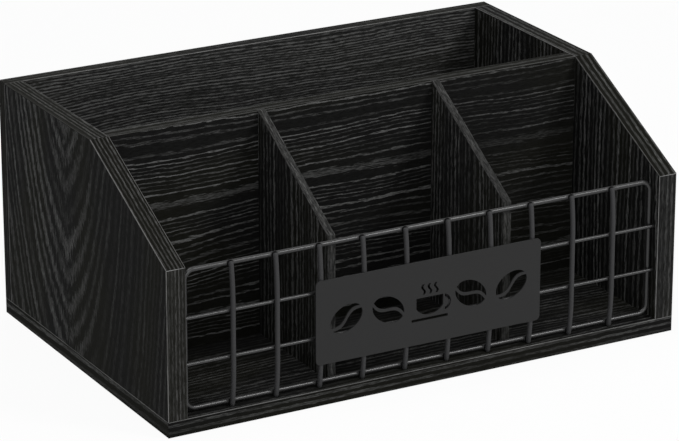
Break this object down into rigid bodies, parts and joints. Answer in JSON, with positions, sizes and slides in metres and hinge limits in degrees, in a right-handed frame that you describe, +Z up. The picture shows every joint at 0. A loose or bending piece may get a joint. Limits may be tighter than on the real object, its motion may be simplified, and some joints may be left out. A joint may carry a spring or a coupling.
{
  "type": "countertop organizer",
  "caption": "Black wood-grain countertop organizer with a long rear bay, divided front bays and a wire grille front with a pierced sign plate.",
  "frame": {"origin": "on the table under the middle of the base panel", "axes": "+X along the width to the right, +Y from the grille to the back panel, +Z up"},
  "size_m": [0.35, 0.23, 0.154],
  "materials": {
    "black_board": "black wood-grain film on fibreboard, matte with fine embossed grain",
    "black_banding": "black wood-grain edge banding, matte, arrises slightly polished",
    "wire_coating": "black satin powder coat on steel wire",
    "sign_coating": "black matte powder coat on sheet steel",
    "screw_steel": "zinc-plated",
    "dowel_wood": "raw beech"
  },
  "bodies": {
    "root": {"base_panel": "black_board", "left_side_panel": "black_board", "right_side_panel": "black_board", "back_panel": "black_board", "middle_divider": "black_board", "left_short_divider": "black_board", "right_short_divider": "black_board", "base_front_band": "black_banding", "base_back_band": "black_banding", "base_left_band": "black_banding", "base_right_band": "black_banding", "left_side_front_band": "black_banding", "left_side_slope_band": "black_banding", "left_side_top_band": "black_banding", "right_side_front_band": "black_banding", "right_side_slope_band": "black_banding", "right_side_top_band": "black_banding", "back_top_band": "black_banding", "back_left_band": "black_banding", "back_right_band": "black_banding", "middle_top_band": "black_banding", "left_short_front_band": "black_banding", "left_short_slope_band": "black_banding", "right_short_front_band": "black_banding", "right_short_slope_band": "black_banding", "grille_loop": "wire_coating", "lower_cross_wire": "wire_coating", "upper_cross_wire": "wire_coating", "upright_wire_1": "wire_coating", "upright_wire_2": "wire_coating", "upright_wire_3": "wire_coating", "upright_wire_4": "wire_coating", "upright_wire_5": "wire_coating", "upright_wire_6": "wire_coating", "upright_wire_7": "wire_coating", "upright_wire_8": "wire_coating", "upright_wire_9": "wire_coating", "upright_wire_10": "wire_coating", "sign_plate": "sign_coating", "side_screws": "screw_steel", "middle_screws": "screw_steel", "back_edge_screws": "screw_steel", "back_face_screws": "screw_steel", "dowels": "dowel_wood"}
  },
  "joints": []
}
